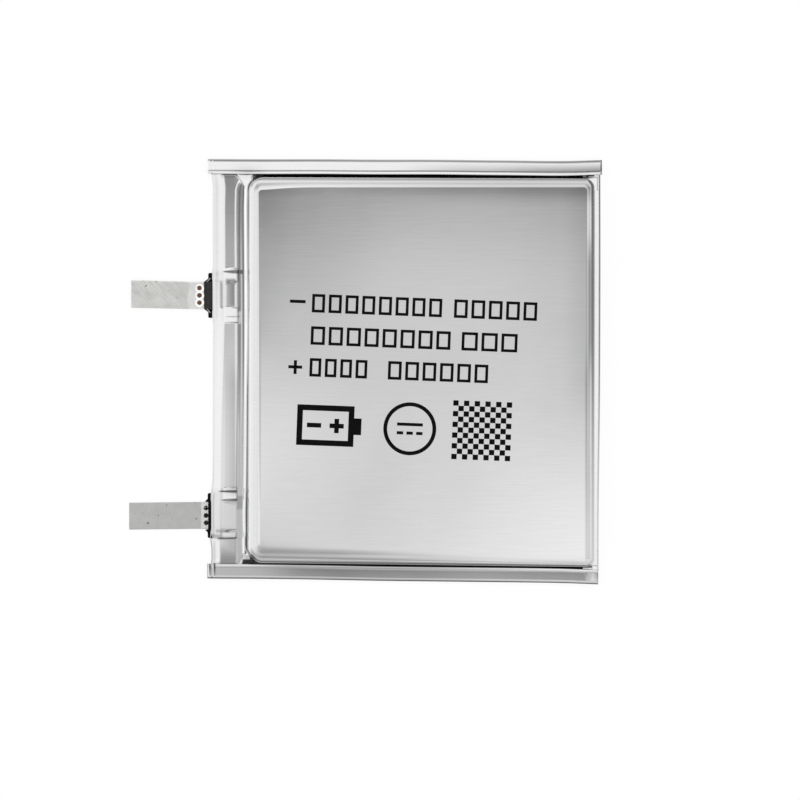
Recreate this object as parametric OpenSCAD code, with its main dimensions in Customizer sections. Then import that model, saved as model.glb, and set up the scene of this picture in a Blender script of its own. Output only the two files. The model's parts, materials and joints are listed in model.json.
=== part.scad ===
// Pouch battery cell lying on its back: +Z out of the face, the tabs point to -X, and the origin is at the
// middle of the flat back face.

/* [Pouch] */
// Length from the terrace edge to the folded end
pouch_l = 42; // [38:0.5:60]
// Width over both hems
pouch_w = 46; // [42:0.5:70]
// Thickness over the cup
cell_t = 2.2; // [2.1:0.05:2.3]
// Thickness of the laminate film
film_t = 0.113; // [0.1:0.001:0.12]
// Length of the sealed terrace at the tab end
terrace_l = 3.8; // [3.6:0.1:5]
// Film left outside the cup at the folded end
fold_margin = 0.3; // [0.25:0.05:0.6]
// Radius of the cup's edge
edge_r = 0.9; // [0.7:0.05:0.95]
// Radius where the cup's wall meets the flange
foot_r = 0.25; // [0.2:0.01:0.28]
// Plan radius of the flat face's corners
face_corner_r = 0.4; // [0.3:0.05:1]

/* [Hems] */
// Width of the folded side seal
hem_w = 1.5; // [1.2:0.1:2]
// Gap between the hem's free edge and the foot of the cup's wall
crevice = 0.3; // [0.25:0.05:0.6]
// Open radius inside the hem's fold
hem_gap = 0.04; // [0.02:0.01:0.06]
// Length by which the hems stand out past the terrace edge
hem_overrun = 0.35; // [0:0.05:0.5]

/* [Tabs] */
// Width of a tab
tab_w = 3; // [2:0.1:4]
// Thickness of a lead and of a tab strip
tab_t = 0.1; // [0.08:0.01:0.12]
// Place of the negative tab's middle across the cell
negative_y = 8.25; // [7:0.25:12]
// Place of the positive tab's middle across the cell
positive_y = -15.75; // [-17:0.25:-7]
// Reach of the tabs from the terrace edge
tab_reach = 8.8; // [6:0.1:15]
// Reach of the negative lead under its strip
negative_lead_reach = 2.5; // [2.2:0.1:3]
// Reach of the positive lead over its strip
positive_lead_reach = 1.15; // [1.1:0.05:1.5]
// Width of the sealant film on a lead
sealant_w = 4.9; // [4.5:0.1:6]
// Thickness of the sealant film
sealant_t = 0.05; // [0.04:0.005:0.06]
// Diameter of a spot weld
weld_d = 0.55; // [0.4:0.05:0.6]
// Distance between spot welds
weld_pitch = 0.8; // [0.7:0.05:0.9]

/* [Electrode stack] */
// Thickness of a cathode, grid and mix together
cathode_t = 0.36; // [0.3:0.01:0.37]
// Thickness of a cathode's grid
grid_t = 0.08; // [0.06:0.01:0.1]
// Thickness of an anode's copper foil
foil_t = 0.03; // [0.02:0.005:0.04]
// Thickness of one layer of lithium
lithium_t = 0.055; // [0.04:0.005:0.06]
// Thickness of a separator
separator_t = 0.04; // [0.03:0.005:0.045]
// Thickness of the insulating tapes
tape_t = 0.05; // [0.04:0.005:0.055]
// Margin of the separators inside the flat face's outline
stack_margin = 0.3; // [0.3:0.1:1]
// Room for the collector ears between the stack and the face's edge
ear_room = 1.2; // [1.1:0.1:3]

/* [Hidden] */
$fn = 48;
arc_steps = 10;
weld_count = 3;

// Colours
film_color = [0.80, 0.80, 0.81];
strip_color = [0.76, 0.76, 0.75];
lead_color = [0.82, 0.82, 0.82];
black_film = [0.08, 0.08, 0.09];
weld_brown = [0.33, 0.20, 0.12];
tape_color = [0.85, 0.72, 0.35];

// Film heights: the back film lies on z = 0 and the flange of the front film lies on it
flange_top = 2 * film_t;
foot_run = edge_r + foot_r + 0.05;
terrace_x = -pouch_l / 2;
fold_x = pouch_l / 2;

// Outline of the cup's flat face, and of the cup's foot
face_x0 = terrace_x + terrace_l + foot_run;
face_x1 = fold_x - fold_margin - foot_run;
face_y = pouch_w / 2 - hem_w - crevice - foot_run;
foot_corner_r = face_corner_r + foot_run;

// The cup's wall is two arcs joined by the straight line that touches both
edge_c = [0, cell_t - edge_r];
foot_c = [foot_run, flange_top + foot_r];
between = foot_c - edge_c;
wall_lean = acos((edge_r + foot_r) / norm(between)) + atan2(between[1], between[0]);

// Hems
hem_fold_r = hem_gap + 2 * film_t;
hem_fold_y = pouch_w / 2 - hem_fold_r;
hem_free_y = pouch_w / 2 - hem_w;
flange_y = hem_free_y - 0.1;
hem_x0 = terrace_x - hem_overrun;
hem_x1 = fold_x;

// Tab heights: back film, sealant, lead
lead_z = film_t + sealant_t;
lead_top = lead_z + tab_t;
step_run = 0.2;
sealant_x0 = terrace_x - 0.8;
sealant_x1 = terrace_x + terrace_l + 0.1;
sealant_shoulder = 0.4;

// Bend lines of the two strips. The root ends one gap short of the strip's rounded end
bend_gap = 0.05;
negative_bend_x = terrace_x - negative_lead_reach - 0.3;
positive_bend_x = terrace_x - positive_lead_reach - 0.35;
negative_strip_z = lead_top;
positive_strip_z = lead_z - tab_t;
negative_weld_x = terrace_x - 1.5;
positive_weld_x = terrace_x - 0.65;
positive_root_x = terrace_x - 0.35;
weld_sink = 0.02;

// Stack of electrodes, from the back
stack_z = film_t + tape_t;
separator_x0 = face_x0 + ear_room + stack_margin;
separator_x1 = face_x1 - stack_margin;
separator_y = face_y - 0.6;
anode_inset = 0.4;
cathode_inset = 0.6;
outer_anode_t = foil_t + lithium_t;
inner_anode_t = foil_t + 2 * lithium_t;
cathode_pitch = cathode_t + inner_anode_t + 2 * separator_t;
first_cathode_z = stack_z + outer_anode_t + separator_t;
stack_top = first_cathode_z + 2 * cathode_pitch + cathode_t + separator_t + outer_anode_t;

// Ears run level past the separators, slope down and gather on the lead
ear_level_x = separator_x0 - 0.25;
ear_down_x = ear_level_x - 1;
ear_end_x = terrace_x + terrace_l + 0.5;
ear_z = lead_top;

function arc(c, r, a0, a1) = [for (i = [0:arc_steps]) let(a = a0 + (a1 - a0) * i / arc_steps)
    c + r * [cos(a), sin(a)]];

function cathode_z(i) = first_cathode_z + i * cathode_pitch;

// Foil height and the heights of the lithium on it, for anode i from the back
function foil_z(i) = i == 0 ? stack_z
    : i == 3 ? stack_top - foil_t
    : cathode_z(i) - separator_t - lithium_t - foil_t;
function lithium_zs(i) = i == 0 ? [foil_z(0) + foil_t]
    : i == 3 ? [foil_z(3) - lithium_t]
    : [foil_z(i) - lithium_t, foil_z(i) + foil_t];

// Separators lie under and over each cathode
function separator_z(i) = let(c = floor(i / 2))
    i % 2 == 0 ? cathode_z(c) - separator_t : cathode_z(c) + cathode_t;

// Underside of the front film across a tab, from the flange up over the sealant and the lead
function tab_steps() = let(half = [
        [tab_w / 2, lead_top + sealant_t],
        [tab_w / 2 + step_run, film_t + 2 * sealant_t],
        [sealant_w / 2, film_t + 2 * sealant_t],
        [sealant_w / 2 + step_run, film_t]])
    concat([for (i = [3:-1:0]) [-half[i][0], half[i][1]]], half);

function raised(points, dz) = [for (p = points) p + [0, dz]];
function reversed(points) = [for (i = [len(points) - 1:-1:0]) points[i]];

// Extrudes a (y, z) outline along x
module along_x(x0, x1) {
    translate([x0, 0, 0]) rotate([90, 0, 90]) linear_extrude(x1 - x0) children();
}

module box(x0, x1, y0, y1, z0, z1) {
    translate([x0, y0, z0]) cube([x1 - x0, y1 - y0, z1 - z0]);
}

module round_outline(x0, x1, y, r) {
    translate([x0 + r, -y]) square([x1 - x0 - 2 * r, 2 * y]);
    translate([x0, -y + r]) square([x1 - x0, 2 * y - 2 * r]);
    for (cx = [x0 + r, x1 - r], cy = [-y + r, y - r]) translate([cx, cy]) circle(r);
}

// Section of the cup's wall: 0 is the edge of the flat face and x grows outwards
module wall_section() {
    outer = concat(arc(edge_c, edge_r, 90, wall_lean), arc(foot_c, foot_r, 180 + wall_lean, 270));
    inner = concat(arc(edge_c, edge_r - film_t, 90, wall_lean), arc(foot_c, foot_r + film_t, 180 + wall_lean, 270));
    polygon(concat(outer, reversed(inner)));
}

module straight_wall(length) {
    rotate([90, 0, 0]) linear_extrude(length) wall_section();
}

module cup_walls() {
    straight_x = face_x1 - face_x0 - 2 * face_corner_r;
    straight_y = 2 * (face_y - face_corner_r);
    translate([face_x1, face_y - face_corner_r, 0]) straight_wall(straight_y);
    translate([face_x0, -face_y + face_corner_r, 0]) rotate(180) straight_wall(straight_y);
    translate([face_x0 + face_corner_r, face_y, 0]) rotate(90) straight_wall(straight_x);
    translate([face_x1 - face_corner_r, -face_y, 0]) rotate(-90) straight_wall(straight_x);
    corners = [
        [face_x1 - face_corner_r, face_y - face_corner_r, 0],
        [face_x0 + face_corner_r, face_y - face_corner_r, 90],
        [face_x0 + face_corner_r, -face_y + face_corner_r, 180],
        [face_x1 - face_corner_r, -face_y + face_corner_r, 270]
    ];
    for (c = corners) translate([c[0], c[1], 0]) rotate(c[2])
        rotate_extrude(angle = 90) translate([face_corner_r, 0]) wall_section();
}

// One layer of a folded hem: flat outwards, round the fold, and back to the free edge
module hem_layer(inner_r) {
    fold_z = flange_top + hem_gap;
    outer_r = inner_r + film_t;
    translate([flange_y, fold_z - outer_r]) square([hem_fold_y - flange_y, film_t]);
    translate([hem_free_y, fold_z + inner_r]) square([hem_fold_y - hem_free_y, film_t]);
    difference() {
        translate([hem_fold_y, fold_z]) circle(outer_r);
        translate([hem_fold_y, fold_z]) circle(inner_r);
        translate([hem_fold_y - 2 * outer_r, fold_z - 2 * outer_r]) square([2 * outer_r, 4 * outer_r]);
    }
}

module hems(inner_r) {
    for (side = [0, 1]) mirror([0, side, 0]) along_x(hem_x0, hem_x1) hem_layer(inner_r);
}

module tab_rise() {
    along_x(terrace_x, face_x0 - foot_run + 0.3)
        polygon(concat(tab_steps(), reversed(raised(tab_steps(), film_t))));
}

// Space under the raised film, where the sealed lead passes
module tab_passage() {
    over = [[sealant_w / 2 + step_run, 0], [-sealant_w / 2 - step_run, 0]];
    along_x(terrace_x - 1, face_x0 - foot_run + 0.5) polygon(concat(tab_steps(), over));
}

module pouch_front_film() {
    tabs = [negative_y, positive_y];
    color(film_color) union() {
        difference() {
            union() {
                translate([0, 0, cell_t - film_t]) linear_extrude(film_t)
                    round_outline(face_x0, face_x1, face_y, face_corner_r);
                cup_walls();
                translate([0, 0, film_t]) linear_extrude(film_t) difference() {
                    translate([terrace_x, -flange_y]) square([pouch_l, 2 * flange_y]);
                    round_outline(face_x0 - foot_run, face_x1 + foot_run, face_y + foot_run, foot_corner_r);
                }
            }
            for (y = tabs) translate([0, y, 0]) tab_passage();
        }
        for (y = tabs) translate([0, y, 0]) tab_rise();
        hems(hem_gap);
    }
}

module pouch_back_film() {
    color(film_color) union() {
        box(terrace_x, fold_x, -flange_y, flange_y, 0, film_t);
        hems(hem_gap + film_t);
    }
}

// Outline of a sealant film, with its corners cut back beside the lead
module sealant_outline() {
    shoulder_y = tab_w / 2 + 0.4;
    polygon([
        [sealant_x1, -sealant_w / 2], [sealant_x1, sealant_w / 2],
        [sealant_x0 + sealant_shoulder, sealant_w / 2], [sealant_x0 + sealant_shoulder, shoulder_y],
        [sealant_x0, tab_w / 2], [sealant_x0, -tab_w / 2],
        [sealant_x0 + sealant_shoulder, -shoulder_y], [sealant_x0 + sealant_shoulder, -sealant_w / 2]
    ]);
}

module sealant_back(y) {
    color(black_film) translate([0, y, film_t]) linear_extrude(sealant_t) sealant_outline();
}

// The front film drapes over the lead
module sealant_front(y) {
    top = [for (p = tab_steps()) if (abs(p[0]) <= sealant_w / 2 + 0.001) p];
    color(black_film) translate([0, y, 0]) intersection() {
        along_x(sealant_x0, sealant_x1) polygon(concat(top, reversed(raised(top, -sealant_t))));
        linear_extrude(cell_t) sealant_outline();
    }
}

// Room for the positive strip and lead in the sealant
module positive_notch(z0, z1) {
    box(terrace_x - 2, positive_root_x, positive_y - tab_w / 2, positive_y + tab_w / 2, z0, z1);
}

module negative_sealant_front() { sealant_front(negative_y); }
module negative_sealant_back() { sealant_back(negative_y); }
module positive_sealant_front() {
    color(black_film) difference() {
        sealant_front(positive_y);
        positive_notch(lead_top, cell_t);
    }
}
module positive_sealant_back() {
    color(black_film) difference() {
        sealant_back(positive_y);
        positive_notch(0, lead_z);
    }
}

module lead(y, reach) {
    box(terrace_x - reach, ear_down_x, y - tab_w / 2, y + tab_w / 2, lead_z, lead_top);
}

// Row of spot welds between two heights
module weld_row(x, y, z0, z1) {
    for (i = [0:weld_count - 1]) translate([x, y + (i - (weld_count - 1) / 2) * weld_pitch, z0])
        cylinder(d = weld_d, h = z1 - z0);
}

module negative_lead() { color(lead_color) lead(negative_y, negative_lead_reach); }

module positive_lead() {
    color(lead_color) difference() {
        lead(positive_y, positive_lead_reach);
        weld_row(positive_weld_x, positive_y, lead_z - 1, lead_top + 1);
    }
}

module negative_welds() {
    color(weld_brown) weld_row(negative_weld_x, negative_y, negative_strip_z, negative_strip_z + tab_t - weld_sink);
}

module positive_welds() {
    color(black_film) weld_row(positive_weld_x, positive_y, lead_z, lead_top - weld_sink);
}

// The welded end of a strip stops just short of the bend line
module strip_root(x1, bend_x, y, z) {
    box(bend_x + tab_t / 2 + bend_gap, x1, y - tab_w / 2, y + tab_w / 2, z, z + tab_t);
}

module negative_strip_root() {
    color(strip_color) difference() {
        strip_root(sealant_x0, negative_bend_x, negative_y, negative_strip_z);
        weld_row(negative_weld_x, negative_y, negative_strip_z - 1, negative_strip_z + 1);
    }
}

module positive_strip_root() {
    color(strip_color) strip_root(positive_root_x, positive_bend_x, positive_y, positive_strip_z);
}

// The free part of a strip turns about the middle of its rounded end
module strip(bend_x, y, z) {
    color(strip_color) union() {
        box(terrace_x - tab_reach, bend_x, y - tab_w / 2, y + tab_w / 2, z, z + tab_t);
        translate([bend_x, y + tab_w / 2, z + tab_t / 2]) rotate([90, 0, 0]) cylinder(d = tab_t, h = tab_w);
    }
}

module negative_strip() { strip(negative_bend_x, negative_y, negative_strip_z); }
module positive_strip() { strip(positive_bend_x, positive_y, positive_strip_z); }

module ear_tape(y, z) {
    color(tape_color) box(ear_end_x, ear_down_x, y - tab_w / 2 - 0.5, y + tab_w / 2 + 0.5, z, z + tape_t);
}

module negative_ear_tape_front() { ear_tape(negative_y, ear_z + 4 * foil_t); }
module negative_ear_tape_back() { ear_tape(negative_y, film_t); }
module positive_ear_tape_front() { ear_tape(positive_y, ear_z + 3 * grid_t); }
module positive_ear_tape_back() { ear_tape(positive_y, film_t); }

// Tape folded round one edge of the stack, drawn for an edge at x = 0 with the stack on its -x side
module stack_tape(width) {
    leg = 5;
    color(tape_color) union() {
        box(-leg, tape_t, -width / 2, width / 2, film_t, stack_z);
        box(0, tape_t, -width / 2, width / 2, film_t, stack_top + tape_t);
        box(-leg, tape_t, -width / 2, width / 2, stack_top, stack_top + tape_t);
    }
}

module stack_tape_end() { translate([separator_x1, 0, 0]) stack_tape(12); }
module stack_tape_upper_side() { translate([2, separator_y, 0]) rotate(90) stack_tape(10); }
module stack_tape_lower_side() { translate([2, -separator_y, 0]) rotate(-90) stack_tape(10); }

// A sheet of the stack, smaller than the separators by an inset on every side
module sheet(inset, z, thickness) {
    box(separator_x0 + inset, separator_x1 - inset, -separator_y + inset, separator_y - inset, z, z + thickness);
}

// A collector: its sheet, and the ear that slopes down to the gathered ears on the lead
module collector(inset, z, thickness, y, gather_z) {
    slope = [[separator_x0 + inset, z], [ear_level_x, z], [ear_down_x, gather_z], [ear_end_x, gather_z]];
    union() {
        sheet(inset, z, thickness);
        translate([0, y + tab_w / 2, 0]) rotate([90, 0, 0]) linear_extrude(tab_w)
            polygon(concat(slope, reversed(raised(slope, thickness))));
    }
}

module anode_foil(i) {
    color([0.72, 0.45, 0.28]) collector(anode_inset, foil_z(i), foil_t, negative_y, ear_z + i * foil_t);
}

module anode_lithium(i) {
    color([0.70, 0.70, 0.74]) for (z = lithium_zs(i)) sheet(anode_inset, z, lithium_t);
}

module cathode_grid(i) {
    color([0.68, 0.68, 0.68]) collector(cathode_inset, cathode_z(i) + (cathode_t - grid_t) / 2, grid_t,
        positive_y, ear_z + i * grid_t);
}

module cathode_mix(i) {
    mix_t = (cathode_t - grid_t) / 2;
    color([0.16, 0.16, 0.17]) for (z = [cathode_z(i), cathode_z(i) + cathode_t - mix_t])
        sheet(cathode_inset, z, mix_t);
}

module separator(i) { color([0.93, 0.93, 0.90]) sheet(0, separator_z(i), separator_t); }

pouch_front_film();
pouch_back_film();
negative_sealant_front();
negative_sealant_back();
positive_sealant_front();
positive_sealant_back();
negative_lead();
positive_lead();
negative_strip_root();
positive_strip_root();
negative_strip();
positive_strip();
negative_welds();
positive_welds();
negative_ear_tape_front();
negative_ear_tape_back();
positive_ear_tape_front();
positive_ear_tape_back();
stack_tape_end();
stack_tape_upper_side();
stack_tape_lower_side();
anode_foil(0);  // anode_foil_1
anode_foil(1);  // anode_foil_2
anode_foil(2);  // anode_foil_3
anode_foil(3);  // anode_foil_4
anode_lithium(0);  // anode_lithium_1
anode_lithium(1);  // anode_lithium_2
anode_lithium(2);  // anode_lithium_3
anode_lithium(3);  // anode_lithium_4
cathode_grid(0);  // cathode_grid_1
cathode_grid(1);  // cathode_grid_2
cathode_grid(2);  // cathode_grid_3
cathode_mix(0);  // cathode_mix_1
cathode_mix(1);  // cathode_mix_2
cathode_mix(2);  // cathode_mix_3
separator(0);  // separator_1
separator(1);  // separator_2
separator(2);  // separator_3
separator(3);  // separator_4
separator(4);  // separator_5
separator(5);  // separator_6
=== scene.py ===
"""Pouch battery cell: the visible skins, tabs, print, materials and studio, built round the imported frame."""

import json
import math

import bmesh
import bpy
import numpy as np
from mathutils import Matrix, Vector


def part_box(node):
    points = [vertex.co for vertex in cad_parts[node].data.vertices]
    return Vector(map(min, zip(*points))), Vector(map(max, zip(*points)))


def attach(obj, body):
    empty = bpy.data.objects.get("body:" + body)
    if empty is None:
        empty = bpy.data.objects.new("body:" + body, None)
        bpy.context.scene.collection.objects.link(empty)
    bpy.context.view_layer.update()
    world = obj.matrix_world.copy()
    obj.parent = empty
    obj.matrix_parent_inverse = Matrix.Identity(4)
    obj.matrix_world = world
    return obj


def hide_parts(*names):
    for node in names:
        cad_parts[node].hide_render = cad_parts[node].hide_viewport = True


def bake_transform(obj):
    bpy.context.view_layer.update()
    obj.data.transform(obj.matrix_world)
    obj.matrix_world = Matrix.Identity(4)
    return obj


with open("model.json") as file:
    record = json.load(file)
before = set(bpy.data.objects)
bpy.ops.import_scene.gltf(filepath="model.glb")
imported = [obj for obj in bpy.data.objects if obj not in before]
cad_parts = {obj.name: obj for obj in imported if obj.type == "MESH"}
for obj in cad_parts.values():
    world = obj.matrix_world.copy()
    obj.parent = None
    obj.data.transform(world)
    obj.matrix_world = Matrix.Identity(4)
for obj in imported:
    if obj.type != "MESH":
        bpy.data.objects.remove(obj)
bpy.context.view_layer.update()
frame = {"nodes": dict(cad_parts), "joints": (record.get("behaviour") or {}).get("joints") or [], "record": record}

MM = 0.001  # shapes are worked out in millimetres and stored in metres


def mm_box(node):
    """Lowest and highest corner of a CAD node, in millimetres."""
    low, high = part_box(node)
    return np.array(low) / MM, np.array(high) / MM


# ---- sizes from the frame

FRONT_LOW, FRONT_HIGH = mm_box("pouch_front_film")
BACK_LOW, BACK_HIGH = mm_box("pouch_back_film")
FILM_T = FRONT_LOW[2]
FACE_Z = FRONT_HIGH[2]
HALF_W = BACK_HIGH[1]
FOLD_X = BACK_HIGH[0]
HEM_OVERRUN = 0.35
TERRACE_X = BACK_LOW[0] + HEM_OVERRUN
FLANGE_Z = 2 * FILM_T

# The cup's foot and its flat face, in from the pouch's outline
FOOT_LEFT = TERRACE_X + 3.88
FOOT_RIGHT = FOLD_X - 0.5
FOOT_LEAN = 0.15  # the left foot stands this much further out at its lower end
FOOT_TOP_LEFT = HALF_W - 1.90
FOOT_TOP_RIGHT = HALF_W - 2.06
FOOT_BOTTOM_LEFT = -HALF_W + 2.14
FOOT_BOTTOM_RIGHT = -HALF_W + 1.70
FACE_LEFT = TERRACE_X + 5.14
FACE_RIGHT = FOLD_X - 1.38
FACE_TOP = HALF_W - 3.10
FACE_BOTTOM_LEFT = -HALF_W + 3.5
FACE_BOTTOM_RIGHT = -HALF_W + 2.3
# by side: left, right, bottom, top
WALL_POWER = np.array([4.2, 4.5, 5.0, 4.5])  # higher keeps the shoulder flatter
SHOULDER_SLOPE = np.array([0.32, 0.15, 0.03, 0.27])  # where the wall leaves the face

# Hems
HEM_WIDTH = {1: 1.67, -1: 1.62}  # by side of the pouch
HEM_PINCH = {1: 0.05, -1: 0.25}  # depth of the crease over the terrace's edge, as a share of the height
HEM_H = 0.52
HEM_JOIN = 1.05  # where the hem's lower layers meet the flat sheets, in from its outer edge


# ---- number helpers

def smooth(a, b, x):
    t = np.clip((np.asarray(x, float) - a) / (b - a), 0, 1)
    return t * t * (3 - 2 * t)


def bump(x, centre, width):
    return np.exp(-(((np.asarray(x, float) - centre) / width) ** 2))


def between(x, low, high, soft):
    """1 between low and high, 0 outside, with soft ends."""
    return steps(x, low - soft / 2, low + soft / 2, high - soft / 2, high + soft / 2)


def steps(x, rise, high, fall, low):
    """Rises to 1 between rise and high and falls back to 0 between fall and low."""
    return smooth(rise, high, x) * smooth(low, fall, x)


def strongest(*layers):
    return np.max(np.broadcast_arrays(*layers), axis=0)


def curve(x, points):
    """Smooth curve through the points with no overshoot (monotone cubic)."""
    px, py = np.array(points, float).T
    step = np.diff(px)
    slope = np.diff(py) / step
    rising = slope[:-1] * slope[1:] > 0
    inner = np.where(rising, 2 * slope[:-1] * slope[1:] / np.where(rising, slope[:-1] + slope[1:], 1), 0)
    tangent = np.concatenate([[slope[0]], inner, [slope[-1]]])
    x = np.clip(np.asarray(x, float), px[0], px[-1])
    i = np.clip(np.searchsorted(px, x, side="right") - 1, 0, len(step) - 1)
    t = (x - px[i]) / step[i]
    return (
        (1 + 2 * t) * (1 - t) ** 2 * py[i]
        + t * (1 - t) ** 2 * step[i] * tangent[i]
        + t * t * (3 - 2 * t) * py[i + 1]
        + t * t * (t - 1) * step[i] * tangent[i + 1]
    )


def spaced(start, stop, coarse, fine_zones, fine):
    """Positions from start to stop, fine inside the zones and coarse elsewhere."""
    xs = [start]
    while xs[-1] < stop - 1e-6:
        near = any(a - coarse < xs[-1] < b for a, b in fine_zones)
        xs.append(min(stop, xs[-1] + (fine if near else coarse)))
    return np.array(xs)


# ---- mesh helpers

def add_object(name, points, faces, material, sharp=35, solid=False):
    """A mesh object from points in millimetres; material is a material or the name of one of the MATERIALS."""
    mesh = bpy.data.meshes.new(name)
    mesh.from_pydata((np.asarray(points, float) * MM).tolist(), [], faces)
    if solid:
        bm = bmesh.new()
        bm.from_mesh(mesh)
        bmesh.ops.recalc_face_normals(bm, faces=bm.faces)
        bm.to_mesh(mesh)
        bm.free()
    mesh.shade_smooth()
    if sharp:
        mesh.set_sharp_from_angle(angle=math.radians(sharp))
    mesh.materials.append(MATERIALS[material] if isinstance(material, str) else material)
    obj = bpy.data.objects.new(name, mesh)
    bpy.context.scene.collection.objects.link(obj)
    return obj


def set_shadow(obj, shade):
    """Stores the painted shade of the film, 0 to 1, at every point; shade(x, y, z) works in millimetres."""
    mesh = obj.data
    spots = np.empty(len(mesh.vertices) * 3)
    mesh.vertices.foreach_get("co", spots)
    x, y, z = spots.reshape(-1, 3).T / MM
    layer = mesh.attributes.new("shadow", "FLOAT", "POINT")
    layer.data.foreach_set("value", np.clip(shade(x, y, z), 0, 1))


def paint_faces(obj, material, chosen):
    """Gives a further material to the faces that chosen(x, y, normal) picks, in millimetres."""
    obj.data.materials.append(MATERIALS[material])
    for polygon in obj.data.polygons:
        x, y, _ = polygon.center / MM
        if chosen(x, y, polygon.normal):
            polygon.material_index = len(obj.data.materials) - 1


def quads(index, keep=None):
    """Faces between the rows and columns of a grid of point numbers."""
    corners = np.stack([index[:-1, :-1], index[:-1, 1:], index[1:, 1:], index[1:, :-1]], 2)
    return (corners.reshape(-1, 4) if keep is None else corners[keep]).tolist()


def rings(count, size, start=0):
    """Point numbers of a stack of closed rings, each ending where it starts."""
    return start + np.arange(count)[:, None] * size + np.arange(size + 1) % size


def drop_loose(points, faces):
    """Leaves out the points that no face uses."""
    used, place = np.unique(faces, return_inverse=True)
    return points[used], place.reshape(-1, 4).tolist()


def sweep(name, sections, material, sharp=35):
    """Closed solid through a stack of closed sections, an array of (section, point, xyz)."""
    sections = np.asarray(sections, float)
    index = rings(*sections.shape[:2])
    faces = quads(index.T) + [index[0, :-1].tolist(), index[-1, :-1].tolist()]
    return add_object(name, sections.reshape(-1, 3), faces, material, sharp, solid=True)


def thicken(obj, thickness):
    """Film thickness, inwards from the drawn surface."""
    modifier = obj.modifiers.new("film_thickness", "SOLIDIFY")
    modifier.thickness = thickness * MM
    modifier.offset = -1


def half_circle(centre, radius, start, stop, steps):
    a = np.radians(np.linspace(start, stop, steps))
    return np.stack([centre[0] + radius * np.cos(a), centre[1] + radius * np.sin(a)], 1)


# ---- materials

def set_inputs(node, sockets):
    """Sets each input to a value, or links it if the value is another node's output."""
    for key, value in sockets.items():
        if isinstance(value, bpy.types.NodeSocket):
            node.id_data.links.new(value, node.inputs[key])
        else:
            node.inputs[key].default_value = value


def add_node(tree, kind, sockets={}, **settings):
    node = tree.nodes.new("ShaderNode" + kind)
    for key, value in settings.items():
        setattr(node, key, value)
    set_inputs(node, sockets)
    return node


def combine(operation, a, b, *more):
    result = add_node(a.id_data, "Math", {0: a, 1: b}, operation=operation).outputs["Value"]
    return combine(operation, result, *more) if more else result


def plus(*values):
    return combine("ADD", *values)


def times(*values):
    return combine("MULTIPLY", *values)


def material_nodes(name):
    material = bpy.data.materials.new(name)
    material.use_nodes = True
    return material, material.node_tree, material.node_tree.nodes["Principled BSDF"]


def noise(tree, scale, stretch=(1, 1, 1), detail=4.0, rotation=0.0):
    """Noise over the object's own coordinates; scale counts features per millimetre."""
    where = add_node(tree, "TexCoord").outputs["Object"]
    scales = [MM / (s * scale) for s in stretch]
    mapping = add_node(tree, "Mapping", {"Vector": where, "Scale": scales, "Rotation": (0, 0, rotation)},
                       vector_type="TEXTURE")
    texture = add_node(tree, "TexNoise", {"Vector": mapping.outputs["Vector"], "Scale": 1.0, "Detail": detail})
    return texture.outputs["Fac"]


def spread(value, low, high, start=0.3, stop=0.7, interpolation="LINEAR"):
    """Takes the value's range from start to stop to the range from low to high."""
    sockets = {"Value": value, "From Min": start, "From Max": stop, "To Min": low, "To Max": high}
    return add_node(value.id_data, "MapRange", sockets, interpolation_type=interpolation).outputs["Result"]


def ramp(value, start, stop, low=0.0, high=1.0):
    """Smooth step from low to high as the value goes from start to stop."""
    return spread(value, low, high, start, stop, "SMOOTHSTEP")


def rgba(colour):
    """A colour for a socket: another node's output, a grey as one number, or three numbers."""
    if isinstance(colour, bpy.types.NodeSocket):
        return colour
    return (*colour, 1) if isinstance(colour, tuple) else (colour, colour, colour, 1)


def blend_colours(value, a, b):
    sockets = {"Factor": value, "A": rgba(a), "B": rgba(b)}
    return add_node(value.id_data, "Mix", sockets, data_type="RGBA").outputs["Result"]


def bumpy(height, depth_mm, strength=1.0):
    sockets = {"Height": height, "Strength": strength, "Distance": depth_mm * MM}
    return add_node(height.id_data, "Bump", sockets).outputs["Normal"]


def finish_material(name, colour_a, colour_b, rough, metal, scale, bump_mm, stretch=(1, 1, 1), rotation=0.0,
                    specular=0.5, specks=None):
    """A surface whose colour, roughness and fine relief vary with noise; specks is the colour of stray marks."""
    material, tree, shader = material_nodes(name)
    fine = noise(tree, scale, stretch, 5.0, rotation)
    broad = noise(tree, scale / 8, detail=3.0)
    colour = blend_colours(spread(times(plus(fine, broad), 0.5), 0, 1), colour_a, colour_b)
    if specks:
        colour = blend_colours(spread(noise(tree, 2.2, detail=1.0), 0, 1, 0.70, 0.78), colour, specks)
    set_inputs(shader, {"Base Color": colour, "Roughness": spread(fine, *rough), "Normal": bumpy(fine, bump_mm),
                        "Metallic": metal, "Specular IOR Level": specular})
    return material


def laminate_material():
    """Satin foil under clear film: fine lengthwise brushing, faint blotches and a few long scuffs."""
    material, tree, shader = material_nodes("laminate_film")
    brushing = noise(tree, 9.0, (0.03, 1, 1), 6.0)
    blotches = noise(tree, 0.12, detail=3.0)
    grain = noise(tree, 12.0, detail=3.0)
    scuffs = noise(tree, 1.6, (0.05, 1, 1), 2.0, rotation=0.35)
    tone = spread(times(plus(brushing, blotches), 0.5), 0, 1)
    foil = blend_colours(tone, (0.775, 0.775, 0.78), (0.845, 0.845, 0.85))
    # painted shade: the shadow attribute darkens the foil's colour toward black
    shadow = add_node(tree, "Attribute", attribute_name="shadow").outputs["Fac"]
    rough = plus(spread(blotches, 0.13, 0.18), spread(scuffs, 0.0, 0.02, 0.62, 0.75))
    set_inputs(shader, {"Base Color": blend_colours(shadow, foil, (0.012, 0.012, 0.014)), "Roughness": rough,
                        "Normal": bumpy(plus(brushing, times(grain, 0.35)), 0.0009, 0.8), "Metallic": 1.0,
                        "Coat Weight": 0.12, "Coat Roughness": 0.16})
    return material


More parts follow.
